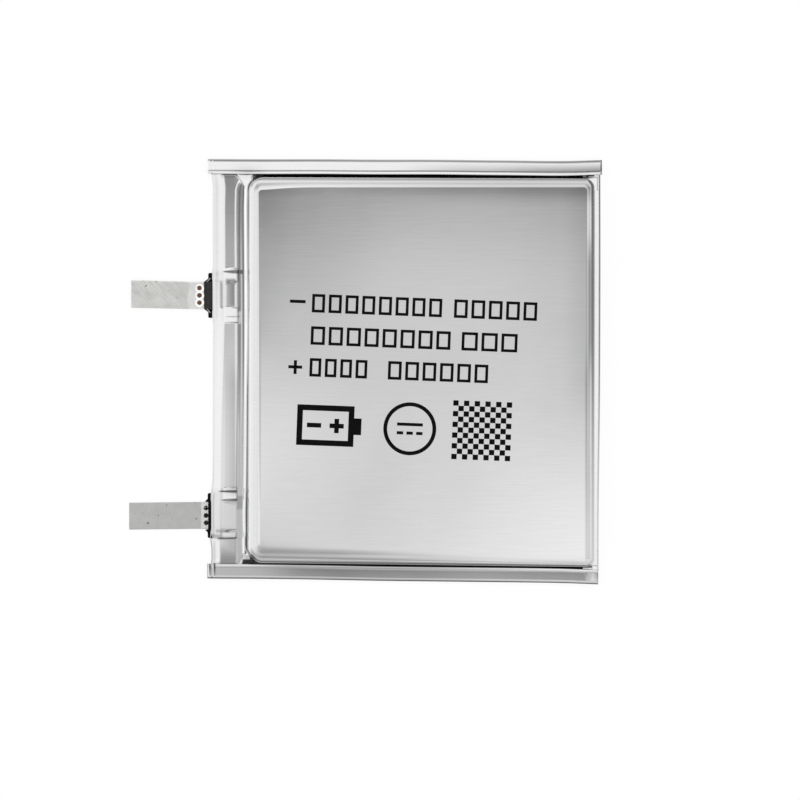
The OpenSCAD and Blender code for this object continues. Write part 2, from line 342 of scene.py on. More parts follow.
# Colours (one number for a grey), roughness, then metallic, noise scale and depth of the relief in mm
FINISHES = {
    "film_in_shadow": (0.001, 0.006, (0.6, 0.8), 0, 3, 0.004, {"specular": 0.02}),
    "black_sealant": (0.001, 0.006, (0.25, 0.45), 0, 3, 0.006, {"specular": 0.04}),
    # a lighter copy of the black sealant: painted sheen on the negative sealant's top over the lead
    "black_sealant_painted_sheen": ((0.016, 0.016, 0.015), (0.034, 0.034, 0.036), (0.2, 0.4), 0, 3, 0.004,
                            {"specular": 0.12}),
    # a lighter, glossier copy of the black sealant: painted glints on the negative sealant's cut-back corners
    "black_sealant_painted_glint": ((0.22, 0.22, 0.20), (0.46, 0.46, 0.43), (0.12, 0.25), 0, 4, 0.004, {"specular": 1.0}),
    "nickel_strip": ((0.64, 0.645, 0.62), (0.88, 0.885, 0.86), (0.36, 0.5), 1, 6, 0.0012,
                     {"stretch": (1, 0.10, 1), "rotation": 0.75, "specks": (0.30, 0.32, 0.28)}),
    "nickel_strip_bright": ((0.84, 0.845, 0.83), (0.95, 0.955, 0.94), (0.34, 0.44), 1, 7, 0.001,
                            {"stretch": (1, 0.12, 1), "rotation": 0.7}),
    "nickel_strip_dull": ((0.53, 0.53, 0.52), (0.64, 0.64, 0.63), (0.40, 0.5), 1, 9, 0.0012,
                          {"specks": (0.20, 0.20, 0.19)}),
    "weld_halo": ((0.90, 0.90, 0.86), (0.97, 0.97, 0.94), (0.3, 0.45), 0, 6, 0.002, {}),
    "nickel_lead": ((0.66, 0.66, 0.64), (0.78, 0.78, 0.76), (0.3, 0.42), 1, 6, 0.0015, {}),
    "aluminium_lead": ((0.70, 0.70, 0.68), (0.86, 0.86, 0.84), (0.3, 0.45), 1, 5, 0.01, {}),
    "brown_weld": ((0.055, 0.022, 0.009), (0.15, 0.075, 0.038), (0.4, 0.6), 0.2, 8, 0.012, {}),
    "dark_weld": (0.002, 0.01, (0.4, 0.6), 0, 8, 0.01, {"specular": 0.1}),
    "printing_ink": (0.001, 0.005, (0.42, 0.6), 0, 6, 0.0008, {"specular": 0.05}),
    "amber_tape": ((0.62, 0.40, 0.08), (0.74, 0.52, 0.14), (0.25, 0.4), 0, 1.5, 0.002, {}),
    "copper_foil": ((0.60, 0.33, 0.20), (0.78, 0.45, 0.29), (0.25, 0.4), 1, 4, 0.001, {"stretch": (0.1, 1, 1)}),
    "lithium_foil": ((0.50, 0.50, 0.53), (0.66, 0.66, 0.70), (0.45, 0.65), 0.9, 1.5, 0.004, {}),
    "aluminium_grid": (0.55, 0.75, (0.3, 0.45), 1, 3, 0.01, {}),
    "cathode_mix": ((0.02, 0.02, 0.022), (0.045, 0.045, 0.05), (0.7, 0.9), 0, 6, 0.01, {}),
    "separator_film": ((0.82, 0.82, 0.80), (0.90, 0.90, 0.88), (0.55, 0.7), 0, 4, 0.002, {}),
}
MATERIALS = {name: finish_material(name, *finish[:-1], **finish[-1]) for name, finish in FINISHES.items()}
MATERIALS["laminate"] = laminate_material()

# The slots of the CAD whose finish has another name
SLOT_FINISHES = {"sealant": "black_sealant", "burnt_weld": "brown_weld", "insulating_tape": "amber_tape",
                 "lithium": "lithium_foil", "separator": "separator_film"}


def paint_cad_nodes():
    for part in frame["record"]["subparts"]:
        data = frame["nodes"][part["node"]].data
        data.materials.clear()
        slot = part["material_slot"]
        data.materials.append(MATERIALS[SLOT_FINISHES.get(slot, slot)])


# ---- the cup

def rounded_ring(corners, radii, along_x, along_y, per_corner):
    """Closed ring round four corners (bottom left first, anticlockwise), starting midway round the first."""
    corners = [np.array(c, float) for c in corners]
    ring = []
    for k in range(4):
        here, after, before = corners[k], corners[(k + 1) % 4], corners[k - 1]
        back = (before - here) / np.linalg.norm(before - here)
        on = (after - here) / np.linalg.norm(after - here)
        for a in np.radians(np.linspace(0, 90, per_corner + 1)):
            ring.append(here + radii[k] * (back * (1 - math.sin(a)) + on * (1 - math.cos(a))))
        pieces = along_x if k % 2 == 0 else along_y
        start, stop = here + radii[k] * on, after - radii[(k + 1) % 4] * on
        ring += [start + (stop - start) * i / pieces for i in range(1, pieces)]
    return np.roll(np.array(ring), -(per_corner // 2), axis=0)


def face_bottom(x):
    return FACE_BOTTOM_LEFT + (FACE_BOTTOM_RIGHT - FACE_BOTTOM_LEFT) * (x - FACE_LEFT) / (FACE_RIGHT - FACE_LEFT)


def face_z(x, y):
    """Height of the flat face: shallow waves and a border that rolls off, never above the cup's top."""
    waves = 0.004 * np.sin(0.21 * x + 0.6) * np.cos(0.17 * y - 0.4) + 0.002 * np.sin(0.5 * x - 0.3 * y)
    to_side = np.minimum(x - FACE_LEFT, FACE_RIGHT - x)
    roll = np.clip(1 - to_side / 0.7, 0, 2) ** 2 * 0.012
    roll = roll + np.clip(1 - (FACE_TOP - y) / 0.95, 0, 2) ** 2 * 0.022
    roll = roll + np.clip(1 - (y - face_bottom(x)) / 1.0, 0, 2) ** 2 * 0.04 * (1 - 0.6 * smooth(-8, 12, x))
    return FACE_Z - 0.012 + waves - roll


def cup_shadow(x, y, z):
    """Shade on the cup: dark at the foot, grey along the lower wall, a little at the face's border."""
    along = (x - FOOT_LEFT) / (FOOT_RIGHT - FOOT_LEFT)
    from_foot = y - FOOT_BOTTOM_LEFT - (FOOT_BOTTOM_RIGHT - FOOT_BOTTOM_LEFT) * along
    from_top_foot = FOOT_TOP_LEFT + (FOOT_TOP_RIGHT - FOOT_TOP_LEFT) * along - y
    off_left = smooth(FACE_LEFT - 0.25, FACE_LEFT, x)
    on_top = smooth(FACE_TOP, FACE_TOP + 0.1, y)
    left_border = curve(y, [(-21, 0), (-16, 0), (-12.4, 0.16), (-5, 0.32), (4, 0.15), (8, 0), (21, 0)])
    upper = smooth(-2, 4, y)
    right_low = (0.33 - 0.08 * smooth(-12, -18, y)) * between(x, FACE_RIGHT - 0.2, FACE_RIGHT + 0.38, 0.25)
    right_high = (1 - 0.8 * smooth(11, 16, y)) * (
        0.24 * between(x, FACE_RIGHT - 0.1, FACE_RIGHT + 0.13, 0.1)
        + 0.5 * between(x, FACE_RIGHT + 0.13, FACE_RIGHT + 0.48, 0.1))
    shade = strongest(
        0.75 * smooth(FLANGE_Z + 0.35, FLANGE_Z, z),
        (0.07 + 0.1 * smooth(FACE_LEFT - 0.45, FACE_LEFT - 0.2, x)) * (1 - off_left),
        left_border * bump(x, FACE_LEFT + 0.03, 0.11),
        (right_low * (1 - upper) + right_high * upper) * (np.abs(y) < 20.4),
        (0.10 + 0.16 * smooth(-12, 15, x)) * on_top * off_left,
        0.45 * bump(from_top_foot, 0.36, 0.13) * between(x, FACE_LEFT - 0.4, FACE_RIGHT, 0.6),
        (0.31 - 0.27 * smooth(-6, 12, x)) * smooth(1.05, 0.7, from_foot),
        0.8 * smooth(0.16, 0.0, from_foot),
        0.28 * bump(y - face_bottom(x), -0.05, 0.32) * smooth(1, -10, x) * off_left,
        0.85 * smooth(1.35, 0.55, np.hypot(x - FOOT_LEFT, from_foot * 0.8)),
    )
    on_face = (1 - on_top) * (z > FACE_Z - 0.2)
    return shade + on_face * (
        0.30 * smooth(2.4, 0.2, FACE_TOP - y) * smooth(-10, 16, x)
        + 0.10 * smooth(16.5, 19.4, x) * smooth(-8, 0, y)
        + 0.08 * smooth(-12.0, -15.6, x) * smooth(0, 6, y) * off_left)


def build_cup():
    per_corner, along_x, along_y, wall_rows = 14, 96, 104, 44
    foot = rounded_ring(
        [(FOOT_LEFT - FOOT_LEAN, FOOT_BOTTOM_LEFT), (FOOT_RIGHT, FOOT_BOTTOM_RIGHT),
         (FOOT_RIGHT, FOOT_TOP_RIGHT), (FOOT_LEFT, FOOT_TOP_LEFT)],
        [1.7, 0.9, 1.1, 1.6], along_x, along_y, per_corner)
    edge = rounded_ring(
        [(FACE_LEFT, FACE_BOTTOM_LEFT), (FACE_RIGHT, FACE_BOTTOM_RIGHT),
         (FACE_RIGHT, FACE_TOP), (FACE_LEFT - 0.12, FACE_TOP)],
        [0.8, 0.45, 0.45, 0.4], along_x, along_y, per_corner)
    edge[:, 1] -= 0.3 * bump(edge[:, 0], FACE_LEFT - 0.5, 3.2) * smooth(FACE_TOP - 1.5, FACE_TOP, edge[:, 1])
    count = len(foot)
    width = np.linalg.norm(foot - edge, axis=1)
    way = (foot - edge) / width[:, None]
    by_side = np.clip([-way[:, 0], way[:, 0], -way[:, 1], way[:, 1]], 0, 1) ** 2
    power, slope = WALL_POWER @ by_side, SHOULDER_SLOPE @ by_side
    foot_z = FLANGE_Z - 0.1
    top_z = face_z(edge[:, 0], edge[:, 1])
    points = []
    for row in range(wall_rows + 1):
        out = math.sin(math.pi / 2 * (1 - (row / wall_rows) ** 1.8))
        up = (1 - out ** power) ** (1 / power)
        z = foot_z + (top_z - foot_z) * up - slope * width * out * (1 - out) * up
        points.append(np.column_stack([edge + (foot - edge) * out, z]))
    # The face: a grid whose border is the last ring
    cols, rows = along_x + per_corner, along_y + per_corner
    base = wall_rows * count
    index = np.full((rows + 1, cols + 1), -1)
    index[0, :] = base + np.arange(cols + 1)
    index[:, cols] = base + cols + np.arange(rows + 1)
    index[rows, ::-1] = base + cols + rows + np.arange(cols + 1)
    index[::-1, 0] = base + (2 * cols + rows + np.arange(rows + 1)) % count
    bottom, right = edge[:cols + 1], edge[cols:cols + rows + 1]
    top = edge[cols + rows:2 * cols + rows + 1][::-1]
    left = np.vstack([edge[2 * cols + rows:], edge[:1]])[::-1]
    u = np.linspace(0, 1, cols + 1)[None, :, None]
    v = np.linspace(0, 1, rows + 1)[:, None, None]
    inside = (
        (1 - v) * bottom[None] + v * top[None] + (1 - u) * left[:, None] + u * right[:, None]
        - (1 - u) * (1 - v) * bottom[0] - u * (1 - v) * bottom[-1] - (1 - u) * v * top[0] - u * v * top[-1]
    )[1:-1, 1:-1].reshape(-1, 2)
    first = (wall_rows + 1) * count
    index[1:-1, 1:-1] = first + np.arange(len(inside)).reshape(rows - 1, cols - 1)
    points.append(np.column_stack([inside, face_z(inside[:, 0], inside[:, 1])]))
    faces = quads(rings(wall_rows + 1, count)) + quads(index)
    cup = add_object("film_cup", np.vstack(points), faces, "laminate", sharp=None)
    set_shadow(cup, cup_shadow)
    thicken(cup, FILM_T)
    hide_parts("pouch_front_film")
    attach(cup, "cell")


# ---- the terrace and flange

# Height across the terrace, by distance in from its edge: pressed seal, level band, ridges up to the cup
PLAIN_PROFILE = [
    (0.0, 0.235), (0.06, 0.25), (0.65, 0.328), (1.26, 0.418), (1.38, 0.433), (1.43, 0.435), (2.2, 0.435), (3.3, 0.39),
    (3.43, 0.40), (3.72, 0.55), (3.79, 0.55), (3.9, 0.42), (4.4, 0.40),
]
CREST = 3.76  # the last ridge's crest, beside the cup
CREST_H = 0.55
EDGE_REACH = 4.2  # how far in the sheets follow the wandering cut edge
CELL_END = 19.0  # x from which the fold shapes the film
RIDGES = [(0, 0), (2.33, 0), (2.42, 0.012), (2.6, 0.105), (2.66, 0.105), (2.88, 0.005), (3.0, 0.0), (3.12, 0.028),
          (3.19, 0.028), (3.32, 0.0), (4.4, 0)]
# Painted shade in the valleys between the ridges, by distance in from the terrace's edge
VALLEY_SHADE = [(0, 0.08), (0.3, 0.02), (0.6, 0), (2.36, 0), (2.42, 0.15), (2.62, 0.18), (2.72, 0.55), (2.85, 0.66),
           (2.97, 0.55), (3.08, 0.22), (3.18, 0.25), (3.29, 0.7), (3.37, 0.45), (3.46, 0), (4.4, 0)]
# Each lead's swelling and the level recess between its two bars: where they rise and fall, across the pouch
LEADS = [
    ((5.22, 5.36, 11.0, 11.3), (6.78, 7.0, 9.5, 10.0)),
    ((-18.2, -18.1, -12.8, -12.64), (-17.75, -17.2, -14.15, -13.9)),
]


def terrace_edge(y):
    """The cut edge of the terrace wanders a little and leans out under the hems."""
    lean = 0.12 * smooth(19.8, 21.6, y) + 0.10 * bump(y, -15.7, 2.6)
    lean = lean + 0.13 * smooth(-17.2, -18.7, y) + 0.14 * smooth(-20.3, -21.6, y)
    return TERRACE_X - 0.04 + 0.04 * np.sin(0.16 * y + 1.0) + 0.05 * bump(y, 20, 1.5) - lean


def tab_lip(y):
    """How far the terrace's edge is drawn out over each tab's sealant."""
    return 0.10 * between(y, 5.4, 11.2, 0.8) + 0.14 * between(y, -18.7, -12.7, 1.6)


def corner_shift(y):
    """How far the last ridge's crest follows the cup round its corners."""
    return np.where(y > 0, 0.8 * smooth(20.0, 21.3, y), 0.5 * smooth(-19.0, -20.5, y))


def flare(e, y):
    """At the cup's corners the last ridge spreads into a smooth web toward the hem: its weight and height."""
    reach = np.clip((np.abs(y) - 19.85) / 1.45, 0, 1)
    start = CREST - 0.27 - 0.8 * reach ** 1.6
    limit = CREST + corner_shift(y)
    crest = CREST_H - 0.09 * smooth(0, 1, reach) * (y < 0)
    drop = 0.15 + 0.03 * reach + 0.08 * reach * (y > 0)
    height = crest - drop * np.clip((limit - e) / (limit - start), 0, 1)
    weight = smooth(start - 0.08, start + 0.04, e) * smooth(limit + 0.1, limit, e)
    return weight * smooth(0, 0.1, reach), height


def ridge_bend(y):
    """The small ridges turn inward at the upper corner."""
    return 0.35 * smooth(19.7, 20.9, y)


def foot_lean(e, y):
    """The last ridge follows the cup's foot, further out toward the lower side."""
    return 0.8 * FOOT_LEAN * smooth(6, -5, y) * smooth(3.2, 3.6, e)


def terrace_z(x, y):
    e = x - terrace_edge(y)
    narrower = 0.45 * smooth(14, -12, y) * smooth(0.0, 0.9, e) * smooth(2.3, 1.1, e)
    narrower = narrower - 0.2 * between(y, 6.9, 9.8, 0.4) * between(e, 0.9, 2.0, 0.4)
    ridge_height = (0.1 + 0.9 * smooth(-15, 3, y) - 0.35 * smooth(12, 17, y)) * smooth(20.9, 20.4, y)
    z = curve(e + narrower + foot_lean(e, y), PLAIN_PROFILE) + curve(e - ridge_bend(y), RIDGES) * ridge_height
    for zone, recess in LEADS:
        bars = steps(y, *zone) * (1 - steps(y, *recess))
        swelling = between(y, zone[0] + 0.2, zone[2] - 0.2, 0.7)
        z = z + 0.17 * bars * np.clip(e - 1.2, 0, 1.4) * smooth(2.9, 2.62, e)
        z = z + 0.06 * swelling * np.clip(1 - e / 2.6, 0, 1)
    weight, height = flare(e, y)
    z = z * (1 - weight) + height * weight
    # under the hems it goes down to the flat flange
    at = TERRACE_X + 2
    inner = np.where(y > 0, upper_hem_outer(at) - HEM_WIDTH[1], lower_hem_outer(at) - HEM_WIDTH[-1])
    under = smooth(inner - 0.12, inner + 0.08, np.abs(y))
    under = under * np.where(y > 0, smooth(1.0, 1.4, e), smooth(0.1, 0.5, e))
    z = z * (1 - under) + np.minimum(z, np.where(y > 0, 0.33, FLANGE_Z)) * under
    return np.maximum(z, FLANGE_Z)


def wedge(e, y, at, start, stop, half, lean=0.0):
    """A pointed patch of shade: a tip at start widening to the half-width at stop."""
    t = np.clip((e - start) / (stop - start), 0, 1)
    width = half * t ** 0.55 + 1e-4
    return smooth(1.25, 0.5, np.abs(y - at - lean * t) / width) * smooth(stop + 0.12, stop, e) * (t > 0)


def terrace_shadow(x, y, z):
    """Creases the light doesn't reach: valleys by the cup, the edges of the tab steps and the folds' corners."""
    e = x - terrace_edge(y)
    rim = e + tab_lip(y)
    weight, _ = flare(e, y)
    plain = (1 - weight) * smooth(21.3, 20.6, -y) * smooth(20.7, 20.2, y)
    valleys = curve(e - ridge_bend(y), VALLEY_SHADE) * plain * (0.35 + 0.65 * smooth(-12, 4, y))
    valleys = valleys * (1 - 0.8 * between(y, 5.2, 6.5, 0.4) * between(e, 2.6, 3.1, 0.2))
    away = smooth(3, -2, y) * (1 - 0.75 * between(y, -17.7, -13.5, 0.6)) * plain  # the lower half, clear of the tab
    end = between(e, 1.0, 2.75, 0.3)
    hollow = smooth(3.78, 3.88, e + foot_lean(e, y) - corner_shift(y))
    off_fold = smooth(FOLD_X, CELL_END, x)
    crevices = [
        (0.95 - 0.5 * smooth(19.8, 20.9, x)) * smooth(18.5, 19.4, x) * bump(y, middle, off_fold * 0.14 + 0.06)
        for middle in (21.1, -21.34)
    ]
    return strongest(
        valleys,
        0.28 * smooth(2, -8, y) * between(e, 2.66, 3.45, 0.12) * plain,
        # beside the negative lead
        0.8 * wedge(e, y, 10.84, 1.05, 3.2, 0.30, -0.04),
        0.42 * wedge(e, y, 5.93, 1.25, 2.9, 0.12),
        0.55 * between(e, 1.38, 2.5, 0.3) * between(y, 9.42, 10.06, 0.3),
        0.42 * smooth(1.4, 2.2, e) * smooth(2.35, 2.25, e) * between(y, 7.05, 9.7, 0.5),
        0.12 * between(e, 0.1, 1.5, 0.3) * bump(y, 9.8, 0.12),
        # beside the positive lead
        0.88 * wedge(e, y, -13.1, 0.66, 2.66, 0.21),
        0.62 * wedge(e, y, -14.05, 0.95, 2.7, 0.22),
        0.24 * wedge(e, y, -14.3, 1.3, 3.4, 0.4, -0.12),
        0.5 * between(e, 2.7, 3.4, 0.15) * between(y, -15.1, -13.5, 0.4),
        0.5 * between(e, 0.4, 2.7, 0.3) * bump(y, -17.42, 0.26),
        0.38 * bump(rim, 0.32, 0.14) * between(y, -18.2, -13.2, 0.8),
        0.14 * between(e, -0.2, 1.0, 0.5) * between(y, -18.4, -13.0, 0.8),
        0.85 * between(e, 0.66, 2.72, 0.2) * bump(y, -18.22, 0.12),
        # the cut edge and the stripe along the lower half
        (0.1 + 0.12 * smooth(-8, -13, y) + 0.25 * smooth(-16.5, -18.7, y)) * bump(rim, 0.06, 0.1),
        0.25 * bump(e, 0.32, 0.16) * smooth(-18, -19, y),
        (0.12 + 0.16 * smooth(1.4, 2.4, e)) * between(e, 1.35, 2.5, 0.15) * away,
        0.45 * bump(e, 2.62, 0.12) * away,
        # the ends toward the hems
        0.55 * end * smooth(-18.2, -20.8, y),
        0.3 * end * smooth(20.9, 21.4, y),
        # the hollow between the last ridge and the cup, and the crevices beside the hems
        (0.86 + 0.1 * smooth(4.4, 5.0, e)) * hollow * (x < CELL_END),
        0.97 * smooth(-20.4, -20.6, y) * smooth(3.3, 3.5, e) * (x < CELL_END),
        *crevices,
    )


def wander(across, ys):
    """x at each distance across, following the wandering cut edge near the terrace's edge."""
    return TERRACE_X + across + (terrace_edge(ys) - TERRACE_X) * np.clip(1 - across / EDGE_REACH, 0, 1)


def build_flange():
    """The front film outside the cup, one sheet with a hole under the cup."""
    coarse, fine, lip_reach, hole_half = 0.2, 0.06, 1.3, 20.3
    tab_zones = [(5.0, 7.3), (9.3, 11.5), (-14.6, -12.4), (-18.5, -17.0)]
    corner_zones = [(-HALF_W, -19.3), (19.3, HALF_W)]
    ys = spaced(-HALF_W + HEM_JOIN, HALF_W - HEM_JOIN, coarse, tab_zones + corner_zones, fine)[:, None]
    last = FOLD_X - 0.12 - TERRACE_X
    across = np.concatenate([np.linspace(0, EDGE_REACH, 72), np.linspace(4.35, 5.6, 14),
                             np.linspace(6.4, last - 1.6, 40), np.linspace(last - 1.5, last, 24)])[None, :]
    xx = wander(across, ys) - tab_lip(ys) * np.clip(1 - across / lip_reach, 0, 1)
    yy = np.repeat(ys, across.size, 1)
    beyond = smooth(EDGE_REACH, EDGE_REACH + 0.4, across)
    zz = terrace_z(xx, yy) * (1 - beyond) + FLANGE_Z * beyond
    # by the fold, the film comes down from the cup's corners in a smooth web
    web = smooth(19.6, 19.9, xx) * smooth(19.4, 19.7, np.abs(yy)) * smooth(21.4, 21.2, np.abs(yy))
    zz = zz * (1 - web) + (0.40 + 0.184 * (FOLD_X - 0.42 - xx)) * web
    keep = ~((across[:, :-1] > EDGE_REACH - 0.05) & (across[:, 1:] < FOLD_X - 1.2 - TERRACE_X)
             & (np.abs(ys[:-1]) < hole_half) & (np.abs(ys[1:]) < hole_half))
    index = np.arange(xx.size).reshape(xx.shape)
    points, faces = drop_loose(np.stack([xx, yy, zz], 2).reshape(-1, 3), quads(index, keep))
    flange = add_object("film_flange", points, faces, "laminate", sharp=None)
    set_shadow(flange, terrace_shadow)
    paint_faces(flange, "film_in_shadow", lambda x, y, normal: abs(y) > 20.5 and -15.6 < x < 19.3)
    thicken(flange, FILM_T)
    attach(flange, "cell")


def build_back():
    """The back film: one flat sheet, very slightly drawn in under the cup."""
    xs = np.linspace(TERRACE_X, FOLD_X - 0.7, 60)[None, :]
    ys = np.linspace(-HALF_W + HEM_JOIN, HALF_W - HEM_JOIN, 64)[:, None]
    xx = wander(xs - TERRACE_X, ys)
    yy = np.repeat(ys, xs.size, 1)
    drawn_in = 0.02 * smooth(-17.3, -16.3, xx) * smooth(20.2, 19.3, xx) * smooth(21.2, 20.2, np.abs(yy))
    points = [np.stack([xx, yy, z], 2).reshape(-1, 3) for z in (drawn_in, np.full_like(xx, FILM_T))]
    index = np.arange(xx.size).reshape(xx.shape)
    border = np.concatenate([index[0], index[1:, -1], index[-1, -2::-1], index[-2::-1, 0]])
    faces = quads(index + xx.size) + [f[::-1] for f in quads(index)] + quads(np.stack([border, border + xx.size]))
    back = add_object("film_back", np.vstack(points), faces, "laminate", sharp=40)
    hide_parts("pouch_back_film")
    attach(back, "cell")


# ---- hems and the folded end

def hem_section(tilt, groove, width, height):
    """Outline of a side seal folded over on itself, as (distance in from the outer edge, height)."""
    layer, inner_r = 0.2, 0.03  # thickness of the folded seal and radius of its inner turn
    r = HEM_H / 2
    start, stop = 0.33, width - 0.42
    band = [(w, tilt * (w - start) / (stop - start)) for w in (start, start + 0.04, stop - 0.04, stop)]
    top = [(0.2, 0.003), (0.26, 0.003), (0.3, -0.006)] + band + [
        (stop + 0.03, tilt - 0.12 * groove), (stop + 0.1, tilt - groove), (stop + 0.13, tilt - groove),
        (stop + 0.17, tilt - 0.9 * groove), (width - 0.1, tilt + 0.01), (width - 0.06, tilt + 0.02),
        (width - 0.02, tilt + 0.01), (width, tilt - 0.02),
    ]
    top = [(w, HEM_H + dz) for w, dz in top]
    under = [(w, z - layer) for w, z in top[:2:-1]]
    arc_out = [(w * 0.62, z) for w, z in half_circle((r, r), r, 270, 90, 19)]
    arc_in = half_circle((r + 0.02, FLANGE_Z + inner_r), inner_r, 90, 270, 5)
    outline = [(HEM_JOIN, 0.0), *arc_out, *top, *under[:-1], *arc_in, (HEM_JOIN, FLANGE_Z)]
    return np.array(outline) * (1, height)


def ending(distance, length):
    """Height of a rounded end: 0 at the end, 1 from the length on."""
    return math.sqrt(max(0.0, 1 - max(0.0, 1 - distance / length) ** 2))


def upright(x, y, z):
    """A section across the pouch's length or width; one of x and y is a single number."""
    return np.column_stack(np.broadcast_arrays(x, y, z))


def build_hem(name, side, ends, outer, settings, shade):
    """One hem: side is +1 for the upper and -1 for the lower; outer and settings give its outline along x."""
    x0, x1 = ends
    xs = spaced(x0, x1, 0.3, [(x0, x0 + 2.0), (x1 - 2.0, x1)], 0.04)
    sections = []
    for x in xs:
        height = (0.5 + 0.5 * ending(x - x0, 0.3)) * (0.72 + 0.28 * ending(x1 - x, 0.25))
        height *= 1 - HEM_PINCH[side] * bump(x, TERRACE_X - 0.12, 0.07)
        w, z = hem_section(*settings(x), HEM_WIDTH[side], height).T
        sections.append(upright(x, side * (outer(x) - w), z))
    hem = sweep(name, sections, "laminate", sharp=50)
    set_shadow(hem, lambda x, y, z: shade(x, outer(x) - side * y))
    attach(hem, "cell")


def upper_hem_outer(x):
    edge = curve(x, [(-22, 23.08), (-21.3, 23.13), (-5, 23.09), (10, 23.0), (16.5, 22.91), (21.4, 23.05)])
    return edge + 0.012 * np.sin(0.5 * x)


def upper_hem_settings(x):
    """Tilt of the top layer and depth of its groove, deepest near the cup's corner."""
    return 0.175, 0.07 + 0.06 * bump(x, -17.2, 1.7) + 0.03 * smooth(12, 20, x)


def upper_hem_shadow(x, w):
    at_fold = smooth(8, 20, x)
    at_middle = smooth(-6, 8, x)
    spread_out = 0.05 + 0.04 * bump(x, -17.2, 1.7) + 0.03 * at_middle + 0.04 * at_fold
    groove = bump(w, HEM_WIDTH[1] - 0.35 - 0.05 * at_middle - 0.05 * at_fold, spread_out)
    dot = bump(x, TERRACE_X - 0.1, 0.06) * bump(w, HEM_WIDTH[1] - 0.06, 0.07)
    band = between(w, 0.3, HEM_WIDTH[1] - 0.3, 0.1) * (0.02 + 0.05 * smooth(-2, 18, x))
    return np.maximum(0.6 * groove, 0.7 * dot) + band + (0.58 + 0.12 * at_fold) * bump(w, 0.16, 0.07)


def lower_hem_outer(x):
    return curve(x, [(-22, 22.56), (-21.3, 22.62), (-17, 22.65), (-11, 22.72), (-3, 22.87), (10, 23.02),
                     (16.5, 23.11), (21, 23.26)])


def lower_hem_settings(x):
    """The lower hem leans the same way as the upper, so its free edge is low; it opens out at the fold."""
    return -0.13 - 0.055 * smooth(-18, -6, x) + 0.16 * smooth(19.4, 20.3, x), 0.025


def lower_hem_shadow(x, w):
    bars = np.maximum(bump(x, TERRACE_X - 0.36, 0.11), bump(x, TERRACE_X + 0.14, 0.12)) * between(w, 0.4, 1.7, 0.3)
    rim = (0.7 - 0.2 * smooth(6, 18, x)) * bump(w, 0.11, 0.09)
    end = 0.6 * bump(x, TERRACE_X - 0.64, 0.09)
    band = curve(x, [(-22, 0), (-19, 0.0), (-16.5, 0.05), (-11, 0.34), (-1, 0.34), (9, 0.22), (21, 0.24)])
    band = band * between(w, 0.22, HEM_WIDTH[-1] - 0.38, 0.08) * (0.6 + 0.4 * smooth(0.2, 1.2, w))
    lip = curve(x, [(-22, 0.0), (-18, 0.02), (-12, 0.38), (-1, 0.42), (9, 0.2), (16, 0.0), (21, 0.0)])
    lip = lip * smooth(HEM_WIDTH[-1] - 0.36, HEM_WIDTH[-1] - 0.28, w)
    corner = 0.35 * smooth(20.3, 20.9, x) * between(w, 0.4, 1.3, 0.4)
    return strongest(0.93 * bars, end, strongest(rim, band, lip) + corner)


def build_fold():
    """The end opposite the tabs, where the one sheet of film turns round into the back."""
    turn = 0.145
    top = [(0.17, 0.305), (0.22, 0.315), (0.6, 0.385), (0.66, 0.39), (0.74, 0.37), (0.8, FLANGE_Z)]
    arc = [(w * 0.9, z) for w, z in half_circle((turn, turn), turn, 270, 90, 13)]
    outline = np.array([(0.8, 0.0)] + arc + top)
    sections = []
    for y in spaced(-HALF_W + 1.2, HALF_W - 1.2, 0.5, [], 0.5):
        edge = FOLD_X + 0.18 - 0.15 * smooth(0, -20, y) + 0.03 * math.sin(0.12 * y)
        sections.append(upright(edge - outline[:, 0], y, outline[:, 1]))
    fold = sweep("film_fold", sections, "laminate", sharp=50)
    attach(fold, "cell")


# ---- tabs

LEAD_HALF = 1.5  # half the width of a lead


def strip_sections(xs, centre, half, z_low, z_high, relief, across=49):
    """Sections of a flat strip with softly rounded edges, up to its root at the last x; relief(x, y) moves its
    front. The centre and the half-width are each given at the root, with what they gain per millimetre from it."""
    t = np.linspace(-1, 1, across)
    edge_drop = (z_high - z_low) * 0.35 * smooth(0.94, 1.0, np.abs(t))
    sections = []
    for x in xs:
        away = xs[-1] - x
        y = centre[0] + centre[1] * away + t * (half[0] + half[1] * away)
        up = z_high - edge_drop + relief(x, y)
        sections.append(upright(x, np.append(y, y[::-1]), np.append(up, z_low + edge_drop)))
    return sections


def weld_places(node):
    """Centres of the spot welds of one tab, in millimetres."""
    low, high = mm_box(node)
    d = high[0] - low[0]
    x = (low[0] + high[0]) / 2
    ys = np.linspace(low[1] + d / 2, high[1] - d / 2, 3)
    return [(x, y) for y in ys], d / 2


def weld_relief(x, y, places, radius, rim, rim_width, pit, pit_edge, squash=1.0):
    """The rim pushed up round each weld and the pit inside it."""
    z = 0
    for wx, wy in places:
        d = np.hypot(x - wx, (y - wy) * squash)
        z = z + rim * bump(d, radius + 0.06, rim_width) - pit * smooth(radius + 0.02, radius - pit_edge, d)
    return z


def bend_line(tab):
    """Where a strip bends: the hinge's x and the middle of the strip."""
    joint = next(j for j in frame["joints"] if j["name"] == tab + "_tab_bend")
    return joint["pos_m"][0] / MM, joint["pos_m"][1] / MM


